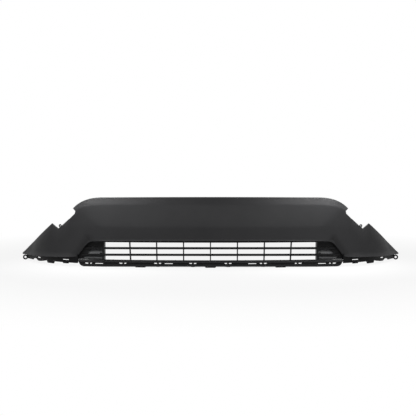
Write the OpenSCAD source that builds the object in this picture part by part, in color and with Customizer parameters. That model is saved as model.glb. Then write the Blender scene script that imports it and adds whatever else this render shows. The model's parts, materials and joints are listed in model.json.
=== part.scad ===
// Front lower bumper cover: a textured skin with a slatted lower grille, the rail
// under it, a retainer flange under each wing, and the clip nuts and fasteners.

/* [Size] */
// Height of the top edge above the floor
top_z = 290; // [284:1:296]
// Half-width of the gently curved front part
front_half = 430; // [420:5:440]
// Plan radius of the front part
front_r = 4200; // [4000:100:4400]
// Plan radius of the corners
corner_r = 430; // [420:5:440]
// Angle between the wings and the front, in degrees
wing_angle = 60; // [58:1:61]
// Length of the skin along its curve, from the centre line to a wing tip
wing_reach = 980; // [970:5:990]
// Wall of the skin
wall = 3; // [2.6:0.1:3.2]

/* [Skin] */
// Height of the opening's upper edge
opening_z = 113; // [111:1:115]
// Height of the soft crease between the lower and the upper face
crease_z = 169; // [164:1:174]
// Height of the chamfer under the top edge
chamfer_h = 27; // [22:1:32]
// How far the top edge falls from the front to the corner tips
crown_drop = 46.5; // [42:0.5:50]
// Bow of the top edge, from the centre to the corners
top_bow = 2.6; // [2:0.2:3.2]
// Curve length from the centre line to a corner tip
crown_end = 598; // [595:1:601]
// Fall of the wings' upper edges per unit of width
edge_slope = 0.955; // [0.95:0.005:0.96]
// Height of a wing tip
tip_z = 27; // [26:1:29]
// Drop of the diagonal edge below the line of the outer flap
diagonal_step = 54; // [51:1:57]
// Height of the wings' lower edge beside the grille
wing_low_z = 39; // [37:1:41]
// Return flange along the top edge, front to back
return_w = 14; // [10:1:16]

/* [Grille] */
// Plan radius of the grille and the rail
grille_r = 3200; // [3000:100:3400]
// Setback of the grille's front behind the skin
grille_b = 20; // [18:1:22]
// Depth of the slats, front to back
slat_d = 28; // [24:1:30]
// Height of a slat
slat_h = 9.5; // [8:0.5:10]
// Height of the lower slat
slat_z = 53.5; // [52:0.5:55]
// Distance between the slats
slat_pitch = 27.5; // [26:0.5:29]
// Slope of the slats, falling to the rear, in degrees
slat_tilt = 5; // [0:1:6]
// Thickness of a vane
vane_t = 4.5; // [4:0.5:5]
// Distance between vanes
vane_pitch = 112; // [110:1:114]
// Half-width of the open part of the grille
open_half = 446; // [443:1:449]
// Half-width of the grille at its widest
grille_half = 551; // [548:1:552]

/* [Rail and flanges] */
// Height of the rail's sloped band at its rear upper edge
rail_z = 30.5; // [30:0.5:32]
// Height of the rail's lower edge
strip_z = 5; // [4:1:6]
// Distance between neighbouring clip nuts
nut_pitch = 146.5; // [145:0.5:148]
// Radius of the clip nut's thread
nut_bore_r = 2.5; // [2:0.5:3]
// Radius of the hole in a wing flange's end ear
ear_hole_r = 5; // [4:0.5:6]
// Distance between the hanging tabs
tab_pitch = 292; // [288:2:296]
// Height of the wing flanges' lower edge
flange_z = 15; // [14:1:16]

/* [Hidden] */
nut_count = 8;
half_depth = 181.3;
gap = 0.3;
turn = 180 / PI;

// Plan curve: front arc, corner arc, then a straight wing
front_a = asin(front_half / front_r);
front_s = front_r * front_a / turn;
wing_s = front_s + corner_r * (wing_angle - front_a) / turn;
corner_x = front_half - corner_r * sin(front_a);
corner_y = front_r - (front_r - corner_r) * cos(front_a);

function plan_angle(s) = s < front_s ? s / front_r * turn
    : s < wing_s ? front_a + (s - front_s) / corner_r * turn
    : wing_angle;
function plan_x(s) = s < front_s ? front_r * sin(plan_angle(s))
    : corner_x + corner_r * sin(plan_angle(s)) + max(0, s - wing_s) * cos(wing_angle);
function plan_y(s) = s < front_s ? front_r * (1 - cos(plan_angle(s)))
    : corner_y - corner_r * cos(plan_angle(s)) + max(0, s - wing_s) * sin(wing_angle);

// Soft versions of max(0, x), min and max, and an S-shaped ramp from 0 to 1
function soft_plus(x, r) = (x + sqrt(x * x + r * r)) / 2;
function soft_max(a, b, r) = (a + b + sqrt((a - b) * (a - b) + r * r)) / 2;
function soft_min(a, b, r) = -soft_max(-a, -b, r);
function ramp(x, from, to) = let(t = min(1, max(0, (x - from) / (to - from)))) t * t * (3 - 2 * t);
function fade(x, reach) = pow(max(0, 1 - x / reach), 2);

// Upper and lower edges of the skin over the curve length s
edge_z = top_z - 1.5;
recess_s = front_s + 79.2;
recess_slope = 1.32;
gap_s = [crown_end + 50, crown_end + 70, crown_end + 111];
lip_bow = 2;
flap_c = tip_z + edge_slope * (plan_x(wing_reach) + 2);
diagonal_c = flap_c - diagonal_step;
gap_drop = 13;
flap_mid = (gap_s[2] + wing_reach - 28) / 2;
flap_bow = 4;
gap_z = diagonal_z(gap_s[0]) - gap_drop;

function crown_z(s) = edge_z - top_bow * pow(min(s, front_s) / front_s, 2)
    - (crown_drop - top_bow) * pow(max(0, s - front_s) / (crown_end - front_s), 3.4);
function flap_z(s) = flap_c - edge_slope * plan_x(s)
    + flap_bow * max(0, 1 - pow((s - flap_mid) / (flap_mid - gap_s[2]), 2));
function diagonal_z(s) = diagonal_c - edge_slope * plan_x(s)
    + 0.045 * (plan_x(s) - plan_x(crown_end));
function upper_z(s) = s < crown_end + 1 ? crown_z(s)
    : s < gap_s[0] ? diagonal_z(s)
    : s < gap_s[1] ? diagonal_z(gap_s[0]) - gap_drop * (s - gap_s[0]) / (gap_s[1] - gap_s[0])
    : s < gap_s[2] ? gap_z + (flap_z(gap_s[2]) - gap_z) * (s - gap_s[1]) / (gap_s[2] - gap_s[1])
    : flap_z(s);
function wing_z(s) = wing_low_z - 0.045 * (s - crown_end + 8);
function lip_z(s) = opening_z - lip_bow * pow(min(s, front_s) / front_s, 2);
function lower_z(s) =
    soft_max(soft_min(lip_z(s), opening_z - recess_slope * (s - recess_s), 22), wing_z(s), 6);

// Setback of the skin's outer face behind the plan curve
function face_b(s, z) =
    let(h = soft_plus(z - crease_z, 6))
    let(fall = pow(max(0, s - front_s), 2) / 2 * (1 / corner_r - 1 / front_r))
    0.035 * (z - opening_z) + soft_max(0.18 * h + 0.001 * h * h - fall, 0.08 * h, 0.1 * h);
function chamfer_b(s, z) = (1 - ramp(s, crown_end, crown_end + 2))
    * (0.42 + 0.28 * ramp(s, front_s + 10, front_s + 70)) * soft_plus(z - upper_z(s) + chamfer_h, 4);
function turned_b(s, z) = 8 * ramp(s, crown_end, crown_end + 2) * fade(upper_z(s) - z, 60);
function lip_b(s, z) = 3 * (1 - ramp(s, front_s, front_s + 60)) * fade(z - lower_z(s), 6)
    + 7 * ramp(s, front_s + 130, front_s + 190) * fade(z - lower_z(s), 22);
function recess_gap(s, z) = max(z - opening_z, s - recess_s - 50,
    (recess_slope * (s - recess_s) + z - opening_z) / norm([recess_slope, 1]));
function roll_b(s, z) = 8 * ramp(s, front_s, front_s + 70) * fade(max(0, recess_gap(s, z)), 30);
function skin_b(s, z) = let(slim = min(1, (upper_z(s) - lower_z(s)) / 60))
    face_b(s, z) + chamfer_b(s, z) + roll_b(s, z) + slim * (turned_b(s, z) - lip_b(s, z));

// Profile of the skin at one station: points [setback, z] from the lower edge upwards
row_shares = [0, 0.02, 0.06, 0.13, 0.22, 0.29, 0.325, 0.36, 0.43, 0.55, 0.68, 0.79,
    0.84, 0.87, 0.92, 0.96, 1];
function height(s) = upper_z(s) - lower_z(s);
function fullness(s) = min(1, height(s) / 30);
function wall_t(s) = min(wall, 0.4 * height(s));
function skin_column(s, drop, back) = let(z0 = lower_z(s), span = upper_z(s) - drop - z0)
    [for (share = row_shares) [skin_b(s, z0 + span * share) + back, z0 + span * share]];
function return_t(s) = return_w - wall - (return_w - wall - 2) * ramp(s, crown_end + 38, crown_end + 64);
function return_edge(s, drop) =
    let(full = fullness(s), b = skin_b(s, upper_z(s)) + wall_t(s), z = upper_z(s) - drop)
    [[b + full, z + 1.5 * full], [b + return_t(s) * full + 0.5, z + 1.2 * full]];
function outer_profile(s) = concat(skin_column(s, 0, 0), return_edge(s, 0));
function inner_profile(s) = concat(skin_column(s, wall_t(s), wall_t(s)), return_edge(s, wall_t(s)));
function on_station(s, p) = let(a = plan_angle(abs(s)), side = s < 0 ? -1 : 1)
    [side * (plan_x(abs(s)) - p[0] * sin(a)), plan_y(abs(s)) + p[0] * cos(a), p[1]];

// Stations of one half, closer together where an edge turns
half_stations = concat(
    [for (i = [1:11]) front_s * i / 11],
    [for (i = [1:4]) front_s + 15 * i],
    [for (i = [0:11]) recess_s - 13 + 6 * i],
    [for (i = [3:-1:1]) crown_end - 9 * i + 1],
    [crown_end, crown_end + 2, crown_end + 17, crown_end + 33],
    [for (s = gap_s) s],
    [for (i = [1:14]) gap_s[2] + (wing_reach - gap_s[2]) * i / 14]);
stations = concat([for (i = [len(half_stations) - 1:-1:0]) -half_stations[i]], [0], half_stations);
rows = len(row_shares) + 2;

// Place children on the plan curve: X along it, Y inwards, for either side
module on_plan(s) {
    side = s < 0 ? -1 : 1;
    translate([side * plan_x(abs(s)), plan_y(abs(s)), 0])
        rotate([0, 0, side * plan_angle(abs(s))])
            children();
}

module in_place() {
    translate([0, -half_depth, 0])
        children();
}

module mirrored(side) {
    mirror([side < 0 ? 1 : 0, 0, 0])
        children();
}

// Place children on the arc of the grille and the rail, the same way
module on_grille(s) {
    translate([0, grille_r, 0])
        rotate([0, 0, s / grille_r * turn])
            translate([0, -grille_r, 0])
                children();
}

// Sweep a profile, drawn as [setback, z], along an arc of radius r in front of centre
module sweep(r, centre, from_a, to_a) {
    translate([centre[0], centre[1], 0])
        rotate([0, 0, from_a - 90])
            rotate_extrude(angle = to_a - from_a, $fn = 256)
                translate([r, 0])
                    mirror([1, 0])
                        children();
}

module sweep_grille(from, to) {
    sweep(grille_r, [0, grille_r], from / grille_r * turn, to / grille_r * turn)
        children();
}

module sweep_skin(from, to) {
    sweep(front_r, [0, front_r], from / front_r * turn, to / front_r * turn)
        children();
}

module sweep_corner(from, to) {
    sweep(corner_r, [corner_x, corner_y], plan_angle(from), plan_angle(to))
        children();
}

module band(b0, b1, z0, z1) {
    translate([b0, z0])
        square([b1 - b0, z1 - z0]);
}

// Plate drawn in the front view as [x, z], from setback b0 to b1
module front_plate(b0, b1) {
    translate([0, b1, 0])
        rotate([90, 0, 0])
            linear_extrude(b1 - b0)
                children();
}

// Round bar along Y from setback b0 to b1
module rod(r, b0, b1, fn = 48) {
    translate([0, b0, 0])
        rotate([-90, 0, 0])
            cylinder(r = r, h = b1 - b0, $fn = fn);
}

// Outline with rounded corners: each point is [x, z, radius]
function rounded(points) = let(n = len(points)) [for (i = [0:n - 1])
    let(p = [points[i][0], points[i][1]], r = points[i][2])
    let(a = points[(i + n - 1) % n], b = points[(i + 1) % n])
    let(ua = [a[0], a[1]] - p, ub = [b[0], b[1]] - p)
    let(da = ua / norm(ua), db = ub / norm(ub), half = acos(da * db) / 2)
    let(centre = p + (da + db) / norm(da + db) * r / sin(half))
    let(start = p + da * r / tan(half) - centre)
    let(sweep_a = (cross(da, db) < 0 ? 1 : -1) * (180 - 2 * half))
    for (k = [0:6]) let(t = sweep_a * k / 6)
        centre + [start[0] * cos(t) - start[1] * sin(t), start[0] * sin(t) + start[1] * cos(t)]];

// Fall of the rail's lower edge towards its ends
function sag(x) = 4.5 * pow(x / 520, 2);

// Front outline of the recess that the grille and the rail fill, drawn in by g
function end_points(g) = [
    [grille_half - 1 - g, strip_z - 3.3 + g, 26 - g],
    [grille_half + 1 - 1.1 * g, strip_z + 47, 30],
    [grille_half - 48 - 0.5 * g, opening_z - 4 - g, 22]];
module end_outline(g) {
    right = end_points(g);
    left = [for (i = [2:-1:0]) [-right[i][0], right[i][1], right[i][2]]];
    polygon(rounded(concat(right, left)));
}

// Studs on the back of the skin
grille_studs = [for (side = [-1, 1], i = [0:4])
    [side * (i < 4 ? vane_pitch * (i + 0.5) : open_half + 24), opening_z + 6]];
wing_studs = [[crown_end + 2, 50], [crown_end + 82, 50], [crown_end + 162, 48],
    [wing_reach - 122, 44], [wing_reach - 75, 36]];
stud_r = 3;
stud_hole_r = 3.4;
grille_flange_b = 4.2;
wing_flange_b = 3.8;
flange_t = 3;
push_nut_t = 1.2;

module grille_stud_place() {
    for (stud = grille_studs)
        on_plan(stud[0])
            translate([0, 0, stud[1]])
                children();
}

module wing_stud_place() {
    for (stud = wing_studs)
        on_plan(stud[0])
            translate([0, 0, stud[1]])
                children();
}

// ---- Skin ----
module skin_shell() {
    rings = [for (s = stations) let(p = outer_profile(abs(s)), q = inner_profile(abs(s)))
        [for (v = concat(p, [for (j = [rows - 1:-1:0]) q[j]])) on_station(s, v)]];
    count = 2 * rows;
    last = len(stations) - 1;
    polyhedron(
        points = [for (ring = rings, v = ring) v],
        faces = concat(
            [[for (k = [count - 1:-1:0]) k]],
            [[for (k = [0:count - 1]) last * count + k]],
            [for (i = [0:last - 1], k = [0:count - 1])
                let(n = (k + 1) % count, a = i * count, b = a + count)
                each [[a + k, a + n, b + n], [a + k, b + n, b + k]]]));
}

// Notch under a corner's tip, where the diagonal edge starts
tip_x = plan_x(crown_end) - 15.5;
tip_low = crown_z(crown_end) - 2.5;
module corner_notch() {
    front_plate(40, 160)
        polygon([[tip_x - 8.8, tip_low - 19], [tip_x - 11, tip_low - 8], [tip_x + 0.1, tip_low],
            [tip_x + 17, tip_low], [tip_x + 17, tip_low - 43.5]]);
}

eyelet_s = gap_s[0] + 5;
eyelet_z = diagonal_z(gap_s[0]) + 0.5;
module eyelet(r, extra) {
    on_plan(eyelet_s)
        translate([0, skin_b(eyelet_s, eyelet_z - 12), eyelet_z])
            rod(r, -extra, wall + extra, 24);
}

module bumper_skin() {
    color("#3a3b3d")
        in_place()
            resize([0, 0, 0])
                difference() {
                    union() {
                        skin_shell();
                        grille_stud_place()
                            rod(stud_r, 2, 11, 20);
                        for (side = [-1, 1])
                            mirrored(side) {
                                wing_stud_place()
                                    rod(stud_r, -1.5, 11, 20);
                                eyelet(7, 0);
                            }
                    }
                    for (side = [-1, 1])
                        mirrored(side) {
                            corner_notch();
                            eyelet(3, 5);
                        }
                }
}

// ---- Lower grille ----
bar_z = opening_z - 7.7;
sill_z = rail_z - 7;
closed_d = 8;
post_t = 7;
post_s = open_half + post_t / 2;
vane_d = 12;
flange_end = open_half + 41;
module slat(z, depth, from, to) {
    translate([0, grille_b, z])
        rotate([-slat_tilt, 0, 0])
            translate([0, -grille_b, 0])
                sweep_grille(from, to)
                    polygon([[grille_b, -slat_h / 2 + 1.5], [grille_b + 1.5, -slat_h / 2],
                        [grille_b + depth, -slat_h / 4], [grille_b + depth, slat_h / 4],
                        [grille_b + 1.5, slat_h / 2], [grille_b, slat_h / 2 - 1.5]]);
}

// Upright between the lower bar and the top bar; lean is in degrees
module upright(s, thickness, depth, lean) {
    low = sill_z + 3;
    on_grille(s)
        translate([0, grille_b + 0.5, (low + bar_z) / 2])
            rotate([0, lean, 0])
                translate([-thickness / 2, 0, -(bar_z - low) / 2])
                    cube([thickness, depth, bar_z - low + 1.6]);
}

module grille_ends(b0, b1) {
    intersection() {
        front_plate(-20, 140)
            children();
        sweep_grille(-grille_half - 14, grille_half + 14)
            band(b0, b1, rail_z, bar_z + flange_t - 1);
    }
}

module grille_rim() {
    grille_ends(grille_b, grille_b + closed_d + 1)
        difference() {
            end_outline(-5);
            end_outline(3);
        }
}

// Front outline of a blanking panel, drawn in by g
panel_z = rail_z + 2;
post_x = (grille_r - grille_b - closed_d) * sin(post_s / grille_r * turn) + post_t / 2;
function panel_points(g) = [
    [post_x + 0.5, panel_z + g], [grille_half - 27 - g / 2, panel_z + g],
    [grille_half - 19 - g, panel_z + 7], [grille_half - 20 - g, slat_z - 6],
    [grille_half - 43 - g, slat_z + 9], [grille_half - 54 - g, slat_z + slat_pitch + 5 - g],
    [post_x + 0.5, slat_z + slat_pitch + 5 - g]];

module end_closure() {
    grille_ends(grille_b + closed_d - 1, grille_b + closed_d + 1.4)
        difference() {
            intersection() {
                end_outline(1);
                translate([post_x - 1, 0])
                    square([150, 150]);
            }
            polygon(panel_points(2));
        }
}

panel_s = open_half + 46;
panel_b = 31;
panel_tilt = 12;
panel_t = 2.5;
panel_screws = [[-30, slat_z + slat_pitch - panel_z, 16], [-2, slat_z + slat_pitch - panel_z, 16],
    [-30, slat_z - panel_z, 11], [29, slat_z - panel_z, 11]];
screw_r = 1.6;
module on_panel() {
    on_grille(panel_s)
        translate([0, panel_b, panel_z])
            rotate([-panel_tilt, 0, 0])
                children();
}

module panel_screw_place() {
    for (place = panel_screws)
        on_panel()
            translate([place[0], 0, place[1]])
                children();
}

module panel_bosses() {
    for (place = panel_screws)
        on_panel()
            translate([place[0], 0, place[1]])
                rod(4, -place[2], 0);
}

rail_screw_s = [for (side = [-1, 1], k = [1, 2, 2.8, 3.14]) side * k * nut_pitch];
rail_screw_b = 36;
module rail_screw_place() {
    for (s = concat(rail_screw_s, [0]))
        on_grille(s)
            translate([0, rail_screw_b, 0])
                children();
}

module lower_grille() {
    color("#161718")
        in_place()
            difference() {
                union() {
                    sweep_skin(-flange_end, flange_end)
                        band(grille_flange_b, grille_flange_b + flange_t, bar_z, opening_z + 13);
                    sweep_skin(-flange_end, flange_end)
                        band(grille_flange_b, grille_b + 6, bar_z, bar_z + flange_t);
                    sweep_grille(-flange_end - 7, flange_end + 7)
                        band(grille_b - 6, grille_b + slat_d, bar_z + 0.5, bar_z + flange_t - 0.5);
                    sweep_grille(-flange_end - 33, flange_end + 33)
                        band(grille_b + 6, grille_b + 26, sill_z + gap, rail_z - 2);
                    grille_rim();
                    for (side = [-1, 1])
                        mirrored(side)
                            end_closure();
                    for (i = [0, 1]) {
                        slat(slat_z + slat_pitch * i, slat_d, -open_half - 4, open_half + 4);
                        for (side = [-1, 1])
                            mirrored(side)
                                slat(slat_z + slat_pitch * i, closed_d, open_half + 3,
                                    grille_half - (i == 0 ? 8 : 26));
                    }
                    for (k = [-3:3])
                        upright(vane_pitch * k, vane_t, vane_d, 0.3 * k * abs(k));
                    for (side = [-1, 1]) {
                        upright(side * post_s, post_t, slat_d - 1, 0);
                        mirrored(side)
                            panel_bosses();
                    }
                }
                grille_stud_place()
                    rod(stud_hole_r, 0, 12);
                for (side = [-1, 1])
                    mirrored(side)
                        panel_screw_place()
                            rod(screw_r + 0.1, -8, 1);
                rail_screw_place()
                    translate([0, 0, sill_z - 1])
                        cylinder(r = screw_r + 0.5, h = 9, $fn = 32);
            }
}

// ---- Blanking panel behind a closed grille end ----
module end_panel(side) {
    color("#47484a")
        in_place()
            mirrored(side)
                difference() {
                    intersection() {
                        front_plate(0, 150)
                            polygon(panel_points(0));
                        on_panel()
                            translate([-70, 0, -10])
                                cube([150, panel_t, 100]);
                    }
                    panel_screw_place()
                        rod(screw_r + 0.2, -1, panel_t + 1);
                }
}

// Pan-head screw along +Y: head seat at zero, shank pointing to -Y
module pan_screw(length, head_r) {
    difference() {
        union() {
            rod(screw_r, -length, 0, 32);
            rod(head_r, 0, 2.2, 32);
        }
        for (turned = [0, 90])
            rotate([0, turned, 0])
                translate([-0.5, 1, -head_r * 0.6])
                    cube([1, 2, head_r * 1.2]);
    }
}

module end_panel_screws() {
    color("#8a8c8f")
        in_place()
            for (side = [-1, 1])
                mirrored(side)
                    panel_screw_place()
                        translate([0, panel_t, 0])
                            pan_screw(9, 3.5);
}

// ---- Seats for the clip nuts ----
ear_t = 3;
ear_w = 30;
seat_depth = 13;
module seat_front() {
    translate([0, 39])
        circle(r = 40, $fn = 120);
}

module seat_window() {
    intersection() {
        translate([0, 27])
            circle(r = 19, $fn = 64);
        translate([-20, 12.2])
            square([40, 4]);
    }
}

module seat_ear() {
    translate([-ear_w / 2, 1, 0])
        cube([ear_w, seat_depth - 1, ear_t]);
    translate([0, seat_depth, 0])
        cylinder(r = ear_w / 2, h = ear_t, $fn = 64);
}

module clip_nut() {
    color("#5c5e61")
        difference() {
            union() {
                translate([0, 0, ear_t + 0.1])
                    cylinder(r = 4.5, h = 12, $fn = 48);
                for (z = [-1.3, ear_t + 0.1])
                    translate([-7, -8, z])
                        cube([14, 24.2, 1.2]);
                translate([-7, 15.2, -1.3])
                    cube([14, 1.2, ear_t + 2.6]);
            }
            translate([0, 0, -2])
                cylinder(r = nut_bore_r + 0.8, h = 3, $fn = 48);
            cylinder(r = nut_bore_r, h = 20, $fn = 48);
        }
}

// ---- Rail ----
rail_b = 18;
band_b = 8;
rail_seat_z = 4;
seam_s = open_half - 3;
slot_w = 33;
slot_h = 2.8;
slot_z = 15.9;
band_low = sill_z - 2.4;
module rail_profile() {
    polygon([[grille_b, rail_z], [band_b, band_low + 3], [band_b, band_low], [rail_b, band_low],
        [rail_b, strip_z + 7], [rail_b - 5, strip_z + 5.5], [rail_b - 5, -1],
        [rail_b + 3, -1], [rail_b + 3, band_low], [rail_b + 28, band_low],
        [rail_b + 28, sill_z], [13, sill_z], [grille_b + 3, rail_z - 1.5], [grille_b + 3, rail_z]]);
}

// Part of the rail between two stations, with the seats, slots and tabs on that stretch
module rail(from, to, seats, slots, tabs) {
    color("#1b1c1d")
        in_place()
            difference() {
                union() {
                    intersection() {
                        sweep_grille(from, to)
                            rail_profile();
                        front_plate(-20, 160)
                            difference() {
                                end_outline(0);
                                if (from < 0)
                                    polygon(concat([[480, -9], [-480, -9]],
                                        [for (x = [-480:40:480]) [x, strip_z - sag(x)]]));
                            }
                    }
                    for (s = seats)
                        on_grille(s) {
                            front_plate(rail_b, rail_b + 3)
                                intersection() {
                                    translate([0, rail_seat_z])
                                        seat_front();
                                    translate([-25, 0])
                                        square([50, 10]);
                                }
                            translate([0, rail_b, rail_seat_z])
                                seat_ear();
                        }
                    for (s = tabs)
                        on_grille(s)
                            front_plate(rail_b, rail_b + 3)
                                polygon([[-24, strip_z + 1], [-20, 0], [20, 0], [24, strip_z + 1]]);
                }
                for (s = seats)
                    on_grille(s) {
                        front_plate(rail_b - 2, rail_b + 5)
                            translate([0, rail_seat_z - 0.8 * sag(s)])
                                seat_window();
                        translate([0, rail_b + seat_depth, 0])
                            cylinder(r = nut_bore_r + 1, h = 10, $fn = 48);
                    }
                for (s = slots)
                    on_grille(s)
                        front_plate(rail_b - 2, rail_b + 5)
                            translate([-slot_w / 2, slot_z - 0.8 * sag(s)])
                                square([slot_w, slot_h]);
                rail_screw_place()
                    translate([0, 0, sill_z - 5])
                        cylinder(r = screw_r + 0.6, h = 8, $fn = 32);
            }
}

seat_s = [for (k = [1:nut_count]) nut_pitch * (k - (nut_count + 1) / 2)];
module rail_centre() {
    rail(-seam_s + gap, seam_s - gap, [for (k = [1:6]) seat_s[k]],
        [-1.185 * nut_pitch, 1.185 * nut_pitch], [-tab_pitch, 0, tab_pitch]);
}

module rail_end(side) {
    mirrored(side)
        rail(seam_s + gap, grille_half + 8, [seat_s[7]], [3.19 * nut_pitch], []);
}

module rail_screws() {
    color("#8a8c8f")
        in_place()
            rail_screw_place()
                translate([0, 0, sill_z - 2.4])
                    rotate([-90, 0, 0])
                        pan_screw(9, 4);
}

// ---- Wing flanges ----
flange_s = front_s + (asin((grille_half + 2.5 - corner_x) / corner_r) - front_a) / turn * corner_r;
flange_top = 60;
wing_slot_s = crown_end + 22;
wing_tab_s = crown_end + 112;
wing_seat_s = wing_reach - 177;
wing_seat_z = 8.5;
flange_reach = wing_reach - 36;
ear_x = plan_x(wing_reach) - 14.4;
ear_y = 328;
ear_r = 11;
ear_t2 = 3;
module on_wing(s) {
    on_plan(s)
        translate([0, wing_flange_b, 0])
            children();
}

module wing_flange(side) {
    reach = flange_reach - wing_s;
    color("#141516")
        in_place()
            mirrored(side)
                difference() {
                    union() {
                        sweep_corner(flange_s, wing_s)
                            band(wing_flange_b, wing_flange_b + flange_t, flange_z, flange_top);
                        on_wing(wing_s)
                            front_plate(1, flange_t + 3)
                                translate([-2, flange_z])
                                    square([4, flange_top - flange_z - 2]);
                        on_wing(wing_s)
                            front_plate(0, flange_t)
                                polygon([[0, flange_z], [20, flange_z], [34, flange_z - 8],
                                    [reach, flange_z - 8], [reach, 30], [reach - 10, 36],
                                    [0, flange_top]]);
                        front_plate(ear_y, ear_y + ear_t2) {
                            translate([ear_x, ear_r])
                                circle(r = ear_r, $fn = 64);
                            translate([ear_x - ear_r - 3, 5])
                                square([8, 13]);
                        }
                        on_wing(wing_slot_s)
                            front_plate(0, flange_t)
                                polygon([[-16, flange_z + 1], [-13, 11], [13, 11], [16, flange_z + 1]]);
                        on_wing(wing_tab_s)
                            front_plate(0, flange_t)
                                polygon([[-26, flange_z + 1], [-20, 6], [20, 6], [26, flange_z + 1]]);
                        on_wing(wing_seat_s) {
                            front_plate(0, flange_t)
                                intersection() {
                                    translate([0, wing_seat_z])
                                        seat_front();
                                    translate([-25, 0])
                                        square([50, 20]);
                                }
                            translate([0, 0, wing_seat_z])
                                seat_ear();
                        }
                    }
                    on_wing(wing_slot_s)
                        front_plate(-2, flange_t + 2)
                            translate([-slot_w / 2, 26])
                                square([slot_w, slot_h]);
                    on_wing(wing_seat_s) {
                        front_plate(-2, flange_t + 2)
                            translate([0, wing_seat_z])
                                seat_window();
                        translate([0, seat_depth, 0])
                            cylinder(r = nut_bore_r + 1, h = 15, $fn = 48);
                    }
                    translate([ear_x, 0, ear_r])
                        rod(ear_hole_r, ear_y - 1, ear_y + ear_t2 + 1);
                    wing_stud_place()
                        rod(stud_hole_r, 0, 12);
                }
}

// ---- Clip nuts and push nuts ----
module rail_clip_nut(k) {
    in_place()
        on_grille(seat_s[k - 1])
            translate([0, rail_b + seat_depth, rail_seat_z])
                clip_nut();
}

module wing_clip_nut(side) {
    in_place()
        mirrored(side)
            on_wing(wing_seat_s)
                translate([0, seat_depth, wing_seat_z])
                    clip_nut();
}

module push_nut(b) {
    color("#8a8c8f")
        difference() {
            rod(8, b, b + push_nut_t);
            rod(stud_r + 0.1, b - 1, b + push_nut_t + 1);
        }
}

module grille_push_nuts() {
    in_place()
        grille_stud_place()
            push_nut(grille_flange_b + flange_t + 0.05);
}

module wing_push_nuts(side) {
    in_place()
        mirrored(side)
            wing_stud_place()
                push_nut(wing_flange_b + flange_t + 0.2);
}

bumper_skin();
lower_grille();
end_panel(-1);  // end_panel_left
end_panel(1);  // end_panel_right
rail_centre();
rail_end(-1);  // rail_end_left
rail_end(1);  // rail_end_right
wing_flange(-1);  // wing_flange_left
wing_flange(1);  // wing_flange_right
for (k = [1:nut_count])
    rail_clip_nut(k);
wing_clip_nut(-1);  // wing_clip_nut_left
wing_clip_nut(1);  // wing_clip_nut_right
grille_push_nuts();
wing_push_nuts(-1);  // wing_push_nuts_left
wing_push_nuts(1);  // wing_push_nuts_right
end_panel_screws();
rail_screws();
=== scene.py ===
"""Looks of the front lower bumper cover: the skin's surface, plastics, light and camera."""

import json
import math

import bmesh
import bpy
import numpy as np
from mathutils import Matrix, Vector


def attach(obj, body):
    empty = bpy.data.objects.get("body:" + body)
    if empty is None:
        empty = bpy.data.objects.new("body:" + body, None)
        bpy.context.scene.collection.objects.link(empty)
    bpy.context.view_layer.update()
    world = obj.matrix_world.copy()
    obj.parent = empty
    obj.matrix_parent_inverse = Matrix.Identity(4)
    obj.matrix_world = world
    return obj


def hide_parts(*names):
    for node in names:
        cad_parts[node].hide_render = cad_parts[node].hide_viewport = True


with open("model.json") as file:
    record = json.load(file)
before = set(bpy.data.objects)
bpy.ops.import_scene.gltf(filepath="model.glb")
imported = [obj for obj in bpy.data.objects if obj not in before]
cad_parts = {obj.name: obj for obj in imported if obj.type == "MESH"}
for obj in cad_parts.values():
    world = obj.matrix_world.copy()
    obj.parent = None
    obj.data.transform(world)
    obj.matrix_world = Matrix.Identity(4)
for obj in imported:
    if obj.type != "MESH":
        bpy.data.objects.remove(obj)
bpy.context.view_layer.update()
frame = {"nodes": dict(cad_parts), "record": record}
bpy.context.scene.view_settings.view_transform = "Standard"
MM = 0.001

# ---------------------------------------------------------------- skin dimensions, mm
# The same driving dimensions as the CAD model's skin.
HALF_DEPTH = 181.3
TOP_Z = 290.0
FRONT_HALF = 430.0
FRONT_R = 4200.0
CORNER_R = 430.0
WING_ANGLE = math.radians(60)
WING_REACH = 980.0
WALL = 3.0
OPENING_Z = 113.0
CREASE_Z = 169.0
CHAMFER_H = 27.0
CROWN_DROP = 46.5
TOP_BOW = 2.6
CROWN_END = 598.0
EDGE_SLOPE = 0.955
TIP_Z = 27.0
DIAGONAL_STEP = 54.0
WING_LOW_Z = 39.0
RETURN_W = 14.0
RECESS_SLOPE = 1.32
GAP_S = (CROWN_END + 50, CROWN_END + 70, CROWN_END + 111)
GAP_DROP = 13.0
FLAP_MID = (GAP_S[2] + WING_REACH - 28) / 2
FLAP_BOW = 4.0
LIP_BOW = 2.0
EDGE_Z = TOP_Z - 1.5
STUD_R = 3.0
STUD_END = 11.0
IMAGE_PX = 416
SENSOR_MM = 36.0
# Corners closer than this, in metres, are welded after the cuts.
WELD = 1e-6

FRONT_A = math.asin(FRONT_HALF / FRONT_R)
FRONT_S = FRONT_R * FRONT_A
WING_S = FRONT_S + CORNER_R * (WING_ANGLE - FRONT_A)
CORNER_X = FRONT_HALF - CORNER_R * math.sin(FRONT_A)
CORNER_Y = FRONT_R - (FRONT_R - CORNER_R) * math.cos(FRONT_A)
RECESS_S = FRONT_S + 79.2


# ---------------------------------------------------------------- skin surface
def plan_angle(s):
    corner = FRONT_A + (s - FRONT_S) / CORNER_R
    return np.where(s < FRONT_S, s / FRONT_R, np.minimum(corner, WING_ANGLE))


def plan_x(s):
    a = plan_angle(s)
    wing = CORNER_X + CORNER_R * np.sin(a) + np.maximum(0, s - WING_S) * math.cos(WING_ANGLE)
    return np.where(s < FRONT_S, FRONT_R * np.sin(a), wing)


def plan_y(s):
    a = plan_angle(s)
    wing = CORNER_Y - CORNER_R * np.cos(a) + np.maximum(0, s - WING_S) * math.sin(WING_ANGLE)
    return np.where(s < FRONT_S, FRONT_R * (1 - np.cos(a)), wing)


def soft_plus(x, r):
    return (x + np.sqrt(x * x + r * r)) / 2


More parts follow.
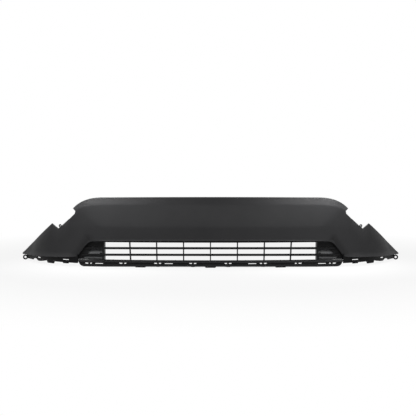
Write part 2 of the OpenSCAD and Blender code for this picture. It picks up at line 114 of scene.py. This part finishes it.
def soft_max(a, b, r):
    return (a + b + np.sqrt((a - b) ** 2 + r * r)) / 2


def soft_min(a, b, r):
    return -soft_max(-a, -b, r)


def ramp(x, start, end):
    t = np.clip((x - start) / (end - start), 0, 1)
    return t * t * (3 - 2 * t)


def fade(x, reach):
    return np.maximum(0, 1 - x / reach) ** 2


FLAP_C = TIP_Z + EDGE_SLOPE * (float(plan_x(np.array(WING_REACH))) + 2)
DIAGONAL_C = FLAP_C - DIAGONAL_STEP


def flap_z(s):
    bow = FLAP_BOW * np.maximum(0, 1 - ((s - FLAP_MID) / (FLAP_MID - GAP_S[2])) ** 2)
    return FLAP_C - EDGE_SLOPE * plan_x(s) + bow


def diagonal_z(s):
    return DIAGONAL_C - EDGE_SLOPE * plan_x(s) + 0.045 * (plan_x(s) - plan_x(np.array(CROWN_END)))


def upper_z(s):
    past = np.maximum(0, s - FRONT_S) / (CROWN_END - FRONT_S)
    crown = EDGE_Z - TOP_BOW * (np.minimum(s, FRONT_S) / FRONT_S) ** 2
    crown = crown - (CROWN_DROP - TOP_BOW) * past ** 3.4
    gap_top = float(diagonal_z(np.array(GAP_S[0])))
    flap_top = float(flap_z(np.array(GAP_S[2])))
    gap_z = gap_top - GAP_DROP
    down = gap_top - GAP_DROP * (s - GAP_S[0]) / (GAP_S[1] - GAP_S[0])
    up = gap_z + (flap_top - gap_z) * (s - GAP_S[1]) / (GAP_S[2] - GAP_S[1])
    return np.select(
        [s < CROWN_END + 1, s < GAP_S[0], s < GAP_S[1], s < GAP_S[2]],
        [crown, diagonal_z(s), down, up],
        flap_z(s),
    )


def lower_z(s):
    lip = OPENING_Z - LIP_BOW * (np.minimum(s, FRONT_S) / FRONT_S) ** 2
    recess = OPENING_Z - RECESS_SLOPE * (s - RECESS_S)
    wing = WING_LOW_Z - 0.045 * (s - CROWN_END + 8)
    return soft_max(soft_min(lip, recess, 22), wing, 6)


def skin_b(s, z):
    """Setback of the outer face behind the plan curve."""
    top, bottom = upper_z(s), lower_z(s)
    h = soft_plus(z - CREASE_Z, 6)
    fall = np.maximum(0, s - FRONT_S) ** 2 / 2 * (1 / CORNER_R - 1 / FRONT_R)
    face = 0.035 * (z - OPENING_Z)
    face = face + soft_max(0.18 * h + 0.001 * h * h - fall, 0.08 * h, 0.1 * h)
    past_crown = ramp(s, CROWN_END, CROWN_END + 2)
    chamfer = (1 - past_crown) * (0.42 + 0.28 * ramp(s, FRONT_S + 10, FRONT_S + 70))
    chamfer = chamfer * soft_plus(z - top + CHAMFER_H, 4)
    turned = 8 * past_crown * fade(top - z, 60)
    lip = 3 * (1 - ramp(s, FRONT_S, FRONT_S + 60)) * fade(z - bottom, 6)
    lip = lip + 7 * ramp(s, FRONT_S + 130, FRONT_S + 190) * fade(z - bottom, 22)
    slant = (RECESS_SLOPE * (s - RECESS_S) + z - OPENING_Z) / math.hypot(RECESS_SLOPE, 1)
    gap = np.maximum(np.maximum(z - OPENING_Z, s - RECESS_S - 50), slant)
    roll = 8 * ramp(s, FRONT_S + 45, FRONT_S + 100) * fade(np.maximum(0, gap), 30)
    slim = np.minimum(1, (top - bottom) / 60)
    return face + chamfer + roll + slim * (turned - lip)


def place(s, side, b, z):
    """Point on the skin in metres, in the row frame."""
    a = plan_angle(s)
    x = side * (plan_x(s) - b * np.sin(a))
    y = plan_y(s) + b * np.cos(a) - HALF_DEPTH
    return np.stack([x, y, z + 0 * x], axis=-1) * MM


# ---------------------------------------------------------------- mesh helpers
def new_object(name, verts, faces, smooth=40):
    mesh = bpy.data.meshes.new(name)
    mesh.from_pydata([tuple(v) for v in verts], [], faces)
    piece = bpy.data.objects.new(name, mesh)
    bpy.context.scene.collection.objects.link(piece)
    shade(piece, smooth)
    return piece


def shade(piece, angle):
    """Smooth shading, with every edge sharper than angle degrees kept sharp."""
    mesh = piece.data
    for polygon in mesh.polygons:
        polygon.use_smooth = True
    mesh.set_sharp_from_angle(angle=math.radians(angle))


def prism(outline, at, depth):
    """Closed prism on the plan's tangent at a station.

    outline is points (along, z), and the setback runs from depth[0] to depth[1].
    """
    s, side = at
    a = float(plan_angle(np.array(s)))
    x0, y0 = float(plan_x(np.array(s))), float(plan_y(np.array(s))) - HALF_DEPTH
    verts = []
    for b in depth:
        for u, z in outline:
            x = x0 + u * math.cos(a) - b * math.sin(a)
            y = y0 + u * math.sin(a) + b * math.cos(a)
            verts.append((side * x * MM, y * MM, z * MM))
    n = len(outline)
    faces = [tuple(range(n)), tuple(range(2 * n - 1, n - 1, -1))]
    faces += [(k, k + n, (k + 1) % n + n, (k + 1) % n) for k in range(n)]
    return verts, faces


def circle(u, z, r, n=40):
    turns = [2 * math.pi * k / n for k in range(n)]
    return [(u + r * math.cos(t), z + r * math.sin(t)) for t in turns]


def fix_normals(piece):
    bm = bmesh.new()
    bm.from_mesh(piece.data)
    bmesh.ops.recalc_face_normals(bm, faces=bm.faces)
    bm.to_mesh(piece.data)
    bm.free()


def drop_fins(bm):
    """Delete pairs of triangles that a cut leaves back to back on the same three corners."""
    bmesh.ops.remove_doubles(bm, verts=bm.verts, dist=WELD)
    bmesh.ops.triangulate(bm, faces=bm.faces[:])
    sharing = {}
    for face in bm.faces:
        sharing.setdefault(frozenset(face.verts), []).append(face)
    fins = [face for group in sharing.values() if len(group) > 1 for face in group]
    bmesh.ops.delete(bm, geom=fins, context="FACES")


def boolean(piece, tools, operation):
    """Cut or join closed tool meshes, each given as (verts, faces)."""
    made = []
    for k, (verts, faces) in enumerate(tools):
        tool = new_object(f"tool_{k}", verts, faces)
        fix_normals(tool)
        made.append(tool)
        step = piece.modifiers.new(f"step_{k}", "BOOLEAN")
        step.operation = operation
        step.solver = "EXACT"
        step.object = tool
    graph = bpy.context.evaluated_depsgraph_get()
    mesh = bpy.data.meshes.new_from_object(piece.evaluated_get(graph))
    piece.modifiers.clear()
    old = piece.data
    piece.data = mesh
    bpy.data.meshes.remove(old)
    for tool in made:
        data = tool.data
        bpy.data.objects.remove(tool)
        bpy.data.meshes.remove(data)


# ---------------------------------------------------------------- skin
def skin_stations():
    half = np.concatenate([
        np.arange(0, 420, 6.0),
        np.arange(420, 648, 2.5),
        np.array([CROWN_END, CROWN_END + 1, CROWN_END + 2]),
        np.array(GAP_S),
        np.arange(648, 712, 3.0),
        np.arange(712, WING_REACH, 5.0),
        np.array([WING_REACH]),
    ])
    half = np.unique(half)
    return np.concatenate([-half[:0:-1], half])


def bezier(p0, p1, p2, steps):
    out = []
    for k in range(1, steps):
        t = k / steps
        out.append(p0 * (1 - t) ** 2 + p1 * 2 * t * (1 - t) + p2 * t * t)
    return out


def skin_ring(s):
    """Closed profile at every station s: a list of (setback, z) pairs of arrays."""
    top, bottom = upper_z(s), lower_z(s)
    height = top - bottom
    full = np.minimum(1, height / 30)
    wall = np.minimum(WALL, 0.4 * height)
    edge = np.minimum(2.4, 0.2 * height)

    def outer(z):
        return np.stack([skin_b(s, z), z])

    def inner(z):
        return np.stack([skin_b(s, z + (top - z) * wall / np.maximum(height, 1)) + wall, z])

    low, high = bottom + edge, top - edge
    rows = 0.5 - 0.5 * np.cos(np.pi * np.linspace(0, 1, 97))
    rows = 0.35 * rows + 0.65 * np.linspace(0, 1, 97)
    front = [outer(low + (high - low) * t) for t in rows]
    corner = outer(top)
    back = corner[0] + wall
    shelf = np.stack([back + full, top + 1.5 * full])
    along = corner + (shelf - corner) * 0.62
    rim = bezier(front[-1], corner, along, 6) + [along, shelf]
    width = RETURN_W - WALL - (RETURN_W - WALL - 2) * ramp(s, CROWN_END + 38, CROWN_END + 64)
    tip_b = back + width * full + 0.5
    rim.append(np.stack([tip_b, top + 1.2 * full]))
    rim.append(np.stack([tip_b, top + 1.2 * full - wall]))
    under = np.stack([back + full, top + 1.5 * full - wall])
    rim.append(under)
    inside_top = np.stack([corner[0] + wall, top - wall])
    behind = [inner(bottom + edge + (top - wall - bottom - 2 * edge) * t) for t in np.linspace(1, 0, 41)]
    rim += bezier(under, inside_top, behind[0], 4)
    foot_out, foot_in = outer(bottom), inner(bottom)
    foot = bezier(behind[-1], foot_in, (foot_in + foot_out) / 2, 4)
    foot += [(foot_in + foot_out) / 2]
    foot += bezier((foot_in + foot_out) / 2, foot_out, front[0], 5)
    return front + rim + behind + foot


def skin_mesh():
    s = skin_stations()
    side = np.where(s < 0, -1.0, 1.0)
    ring = skin_ring(np.abs(s))
    points = np.stack([place(np.abs(s), side, p[0], p[1]) for p in ring], axis=1)
    stations, count = points.shape[:2]
    faces = [tuple(range(count - 1, -1, -1))]
    last = (stations - 1) * count
    faces.append(tuple(last + k for k in range(count)))
    for i in range(stations - 1):
        for k in range(count):
            n = (k + 1) % count
            a = i * count
            faces.append((a + k, a + n, a + count + n, a + count + k))
    return points.reshape(-1, 3), faces


def make_skin():
    verts, faces = skin_mesh()
    skin = new_object("skin_surface", verts, faces)
    fix_normals(skin)
    tip_x = float(plan_x(np.array(CROWN_END))) - 15.5
    tip_low = float(upper_z(np.array(CROWN_END))) - 2.5
    notch = [
        (tip_x - 8.8, tip_low - 19), (tip_x - 11, tip_low - 8), (tip_x + 0.1, tip_low),
        (tip_x + 17, tip_low), (tip_x + 17, tip_low - 43.5),
    ]
    eyelet_s = np.array(GAP_S[0] + 5)
    eyelet_z = float(diagonal_z(np.array(GAP_S[0]))) + 0.5
    b = float(skin_b(eyelet_s, np.array(eyelet_z - 12)))
    cuts, rings = [], []
    for side in (1, -1):
        cuts.append(prism(notch, (0, side), (40, 160)))
        rings.append(prism(circle(0, eyelet_z, 7), (eyelet_s, side), (b, b + WALL)))
        cuts.append(prism(circle(0, eyelet_z, 3, 24), (eyelet_s, side), (b - 5, b + WALL + 5)))
    boolean(skin, rings, "UNION")
    boolean(skin, cuts, "DIFFERENCE")
    # Studs as (station, height, setback of the root): five for the grille, five for a flange.
    studs = [(56 + 112 * i if i < 4 else 470, 119, 2) for i in range(5)]
    studs += [(600, 50, 1.0), (680, 50, 1.0), (760, 48, 1.0), (858, 44, 1.0), (905, 36, 1.0)]
    bm = bmesh.new()
    bm.from_mesh(skin.data)
    for side in (1, -1):
        for s, z, b in studs:
            verts, faces = prism(circle(0, z, STUD_R, 20), (s, side), (b, STUD_END))
            tips = [bm.verts.new(v) for v in verts]
            for face in faces:
                bm.faces.new([tips[k] for k in face])
    drop_fins(bm)
    bmesh.ops.recalc_face_normals(bm, faces=bm.faces)
    bm.to_mesh(skin.data)
    bm.free()
    shade(skin, 35)
    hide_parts("bumper_skin")
    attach(skin, "root")
    return skin


# ---------------------------------------------------------------- materials
def srgb(value):
    """Linear value of an sRGB level from 0 to 255."""
    c = value / 255
    return c / 12.92 if c <= 0.04045 else ((c + 0.055) / 1.055) ** 2.4


def colour(*levels):
    return tuple(srgb(v) for v in levels) + (1.0,)


class Nodes:
    """Short names for adding nodes to a new material."""

    def __init__(self, name):
        self.material = bpy.data.materials.new(name)
        self.material.use_nodes = True
        self.tree = self.material.node_tree
        self.tree.nodes.clear()
        self.out = self.add("ShaderNodeOutputMaterial")
        self.coords = self.add("ShaderNodeTexCoord").outputs["Object"]

    def add(self, kind, **values):
        node = self.tree.nodes.new(kind)
        for key, value in values.items():
            if key in node.inputs:
                node.inputs[key].default_value = value
            else:
                setattr(node, key, value)
        return node

    def link(self, source, target):
        self.tree.links.new(source, target)

    def noise(self, scale, detail=3, rough=0.5):
        node = self.add("ShaderNodeTexNoise")
        node.inputs["Scale"].default_value = scale
        node.inputs["Detail"].default_value = detail
        node.inputs["Roughness"].default_value = rough
        self.link(self.coords, node.inputs["Vector"])
        return node.outputs["Fac"]

    def cells(self, scale, smooth=0.4):
        node = self.add("ShaderNodeTexVoronoi")
        node.feature = "SMOOTH_F1"
        node.inputs["Scale"].default_value = scale
        node.inputs["Smoothness"].default_value = smooth
        self.link(self.coords, node.inputs["Vector"])
        return node.outputs["Distance"]

    def spread(self, value, low, high):
        node = self.add("ShaderNodeMapRange")
        node.inputs["From Min"].default_value = 0.25
        node.inputs["From Max"].default_value = 0.75
        node.inputs["To Min"].default_value = low
        node.inputs["To Max"].default_value = high
        self.link(value, node.inputs["Value"])
        return node.outputs["Result"]

    def blend(self, fac, a, b):
        node = self.add("ShaderNodeMix")
        node.data_type = "RGBA"
        node.inputs[6].default_value = a
        node.inputs[7].default_value = b
        self.link(fac, node.inputs[0])
        return node.outputs[2]

    def bump(self, height, distance, strength, before=None):
        node = self.add("ShaderNodeBump")
        node.inputs["Distance"].default_value = distance
        node.inputs["Strength"].default_value = strength
        self.link(height, node.inputs["Height"])
        if before is not None:
            self.link(before, node.inputs["Normal"])
        return node.outputs["Normal"]

    def surface(self, **values):
        shader = self.add("ShaderNodeBsdfPrincipled")
        for key, value in values.items():
            shader.inputs[key.replace("_", " ")].default_value = value
        self.link(shader.outputs["BSDF"], self.out.inputs["Surface"])
        return shader


def plastic(name, dark, light, rough, specular, grain, grain_size):
    """Moulded plastic: a fine even grain, slow changes of tone, and a slightly uneven gloss."""
    m = Nodes(name)
    shader = m.surface(Specular_IOR_Level=specular)
    tone = m.spread(m.noise(7.0, 3, 0.55), 0.0, 1.0)
    m.link(m.blend(tone, dark, light), shader.inputs["Base Color"])
    m.link(m.spread(m.noise(34.0, 4, 0.6), rough - 0.04, rough + 0.04), shader.inputs["Roughness"])
    pores = m.bump(m.cells(1 / grain_size, 0.5), grain, 0.5)
    fine = m.bump(m.noise(2.4 / grain_size, 2, 0.5), grain * 0.5, 0.4, pores)
    m.link(fine, shader.inputs["Normal"])
    return m.material


def steel(name, dark, light, rough):
    """Plated steel: blotchy phosphate tone over a metal surface."""
    m = Nodes(name)
    shader = m.surface(Metallic=0.85)
    tone = m.spread(m.noise(260.0, 4, 0.6), 0.0, 1.0)
    m.link(m.blend(tone, dark, light), shader.inputs["Base Color"])
    m.link(m.spread(m.noise(480.0, 3, 0.6), rough - 0.08, rough + 0.08), shader.inputs["Roughness"])
    m.link(m.bump(m.noise(900.0, 3, 0.5), 0.0001, 0.3), shader.inputs["Normal"])
    return m.material


def greys(low, high):
    """Dark and light tone at two grey levels, a level bluer."""
    return colour(low, low, low + 1), colour(high, high, high + 1)


skin_plastic = plastic("skin_grained_plastic", *greys(50, 54), 0.45, 0.06, 0.0003, 0.0016)
# Painted shade: the grille plastic is set near-black, far darker than the skin, to stand in for the shade
# under the slats and in the closed cells.
grille_plastic = plastic("grille_painted_shade_plastic", *greys(16, 21), 0.45, 0.12, 0.0001, 0.0011)
# Painted light: the panel grey is set far lighter than the other plastics, so the tilted panel reads as lit
# although the slats and the skin's lower edge shade it.
panel_painted_light_low, panel_painted_light_high = colour(116, 117, 118), colour(124, 125, 126)
panel_plastic = plastic("panel_painted_light_plastic", panel_painted_light_low, panel_painted_light_high, 0.5, 0.1, 0.0001, 0.0012)
rail_plastic = plastic("rail_black_plastic", *greys(42, 48), 0.45, 0.08, 0.0001, 0.0011)
# Flange tone: black plastic, darkened further as painted shade for the shadow under the skin's lower edge.
flange_plastic = plastic("flange_black_and_painted_shade_plastic", *greys(13, 17), 0.45, 0.08, 0.0001, 0.0011)
nut_steel = steel("phosphate_steel", colour(70, 70, 68), colour(104, 103, 99), 0.42)
fastener_steel = steel("zinc_steel", colour(120, 120, 122), colour(150, 150, 152), 0.35)

finishes = {
    "skin_plastic": skin_plastic,
    "grille_plastic": grille_plastic,
    "panel_plastic": panel_plastic,
    "rail_plastic": rail_plastic,
    "flange_plastic": flange_plastic,
    "nut_steel": nut_steel,
    "fastener_steel": fastener_steel,
}

skin = make_skin()
skin.data.materials.clear()
skin.data.materials.append(skin_plastic)

slots = {part["node"]: part["material_slot"] for part in frame["record"]["subparts"]}
for name, node in frame["nodes"].items():
    material = finishes[slots[name]]
    for place_in in node.material_slots:
        place_in.link = "OBJECT"
        place_in.material = material

# ---------------------------------------------------------------- floor, world, light
FLOOR_SIZE = 9.0
FLOOR_TONE = 0.86
FLOOR_BOUNCE = 0.25
SHADOW_REACH = 0.9
floor_nodes = Nodes("pale_floor")
paint = floor_nodes.add("ShaderNodeBsdfDiffuse")
glow = floor_nodes.add("ShaderNodeEmission")
glow.inputs["Strength"].default_value = 1.0
path = floor_nodes.add("ShaderNodeLightPath")
tone = floor_nodes.add("ShaderNodeMath")
tone.operation = "MULTIPLY_ADD"
tone.inputs[1].default_value = FLOOR_TONE - FLOOR_BOUNCE
tone.inputs[2].default_value = FLOOR_BOUNCE
floor_nodes.link(path.outputs["Is Camera Ray"], tone.inputs[0])
floor_nodes.link(tone.outputs[0], paint.inputs["Color"])
either = floor_nodes.add("ShaderNodeMath")
either.operation = "MAXIMUM"
floor_nodes.link(path.outputs["Is Camera Ray"], either.inputs[0])
floor_nodes.link(path.outputs["Is Glossy Ray"], either.inputs[1])
clear = floor_nodes.add("ShaderNodeMath")
clear.operation = "MAXIMUM"
floor_nodes.link(either.outputs[0], clear.inputs[0])
floor_nodes.link(path.outputs["Is Transmission Ray"], clear.inputs[1])
reach = floor_nodes.add("ShaderNodeVectorMath")
reach.operation = "LENGTH"
floor_nodes.link(floor_nodes.coords, reach.inputs[0])
plainness = floor_nodes.add("ShaderNodeMapRange")
plainness.inputs["From Min"].default_value = SHADOW_REACH
plainness.inputs["From Max"].default_value = SHADOW_REACH + 0.8
plainness.inputs["To Min"].default_value = FLOOR_TONE
plainness.inputs["To Max"].default_value = 1.0
floor_nodes.link(reach.outputs["Value"], plainness.inputs["Value"])
seen = floor_nodes.add("ShaderNodeMath")
seen.operation = "MULTIPLY"
floor_nodes.link(clear.outputs[0], seen.inputs[0])
floor_nodes.link(plainness.outputs["Result"], seen.inputs[1])
mixed = floor_nodes.add("ShaderNodeMixShader")
floor_nodes.link(seen.outputs[0], mixed.inputs[0])
floor_nodes.link(paint.outputs[0], mixed.inputs[1])
floor_nodes.link(glow.outputs[0], mixed.inputs[2])
floor_nodes.link(mixed.outputs[0], floor_nodes.out.inputs["Surface"])

corners = [(-1, -1), (1, -1), (1, 1), (-1, 1)]
floor = new_object("floor", [(x * FLOOR_SIZE, y * FLOOR_SIZE, 0) for x, y in corners], [(0, 1, 2, 3)])
floor.data.materials.append(floor_nodes.material)

world = bpy.data.worlds.new("studio")
bpy.context.scene.world = world
world.use_nodes = True
sky = world.node_tree
sky.nodes.clear()
sky_out = sky.nodes.new("ShaderNodeOutputWorld")
plain = sky.nodes.new("ShaderNodeBackground")
plain.inputs["Color"].default_value = (1, 1, 1, 1)
plain.inputs["Strength"].default_value = 0.08
white = sky.nodes.new("ShaderNodeBackground")
white.inputs["Color"].default_value = (1, 1, 1, 1)
white.inputs["Strength"].default_value = 1.0
sky_path = sky.nodes.new("ShaderNodeLightPath")
sky_any = sky.nodes.new("ShaderNodeMath")
sky_any.operation = "MAXIMUM"
sky.links.new(sky_path.outputs["Is Camera Ray"], sky_any.inputs[0])
sky.links.new(sky_path.outputs["Is Glossy Ray"], sky_any.inputs[1])
sky_clear = sky.nodes.new("ShaderNodeMath")
sky_clear.operation = "MAXIMUM"
sky.links.new(sky_any.outputs[0], sky_clear.inputs[0])
sky.links.new(sky_path.outputs["Is Transmission Ray"], sky_clear.inputs[1])
sky_mix = sky.nodes.new("ShaderNodeMixShader")
sky.links.new(sky_clear.outputs[0], sky_mix.inputs[0])
sky.links.new(plain.outputs[0], sky_mix.inputs[1])
sky.links.new(white.outputs[0], sky_mix.inputs[2])
sky.links.new(sky_mix.outputs[0], sky_out.inputs["Surface"])


def softbox(name, at, aim, size, power, spread=180):
    data = bpy.data.lights.new(name, "AREA")
    data.shape = "RECTANGLE"
    data.size, data.size_y = size
    data.energy = power
    data.spread = math.radians(spread)
    lamp = bpy.data.objects.new(name, data)
    bpy.context.scene.collection.objects.link(lamp)
    lamp.location = at
    lamp.rotation_euler = (Vector(aim) - Vector(at)).to_track_quat("-Z", "Y").to_euler()


softbox("key", (0.0, -3.0, 2.2), (0, 0, 0.15), (3.2, 1.4), 80)
CORNER_BOX = (0.25, 0.25)
CORNER_SPREAD = 60
for side, share in ((-1, 0.2), (1, 0.25)):
    corner = (side * 0.5, -0.12, 0.26)
    softbox(f"corner_top_{side}", (side * 0.6, -0.3, 0.95), corner, CORNER_BOX, 3.6 * share, CORNER_SPREAD)
    corner = (side * 0.48, -0.08, 0.26)
    softbox(f"corner_rear_{side}", (side * 0.66, 0.2, 0.95), corner, CORNER_BOX, 2.2 * share, CORNER_SPREAD)
    wing = (side * 0.6, 0, 0.15)
    softbox(f"wing_low_{side}", (side * 3.0, -1.6, 0.8), wing, (1.0, 1.2), 8)

# ---------------------------------------------------------------- camera
front_point = Vector((0, -HALF_DEPTH * MM, 0.145))
tilt = math.radians(5.0)
distance = 4.5
focal_px = 1097.6
camera_data = bpy.data.cameras.new("camera")
camera_data.sensor_width = SENSOR_MM
camera_data.lens = focal_px / IMAGE_PX * SENSOR_MM
camera = bpy.data.objects.new("camera", camera_data)
bpy.context.scene.collection.objects.link(camera)
bpy.context.scene.camera = camera
camera.location = front_point + Vector((0, -math.cos(tilt), math.sin(tilt))) * distance
down = tilt - math.atan(25.2 / focal_px)
sideways = math.atan(2.5 / focal_px)
camera.rotation_euler = (math.pi / 2 - down, 0, sideways)
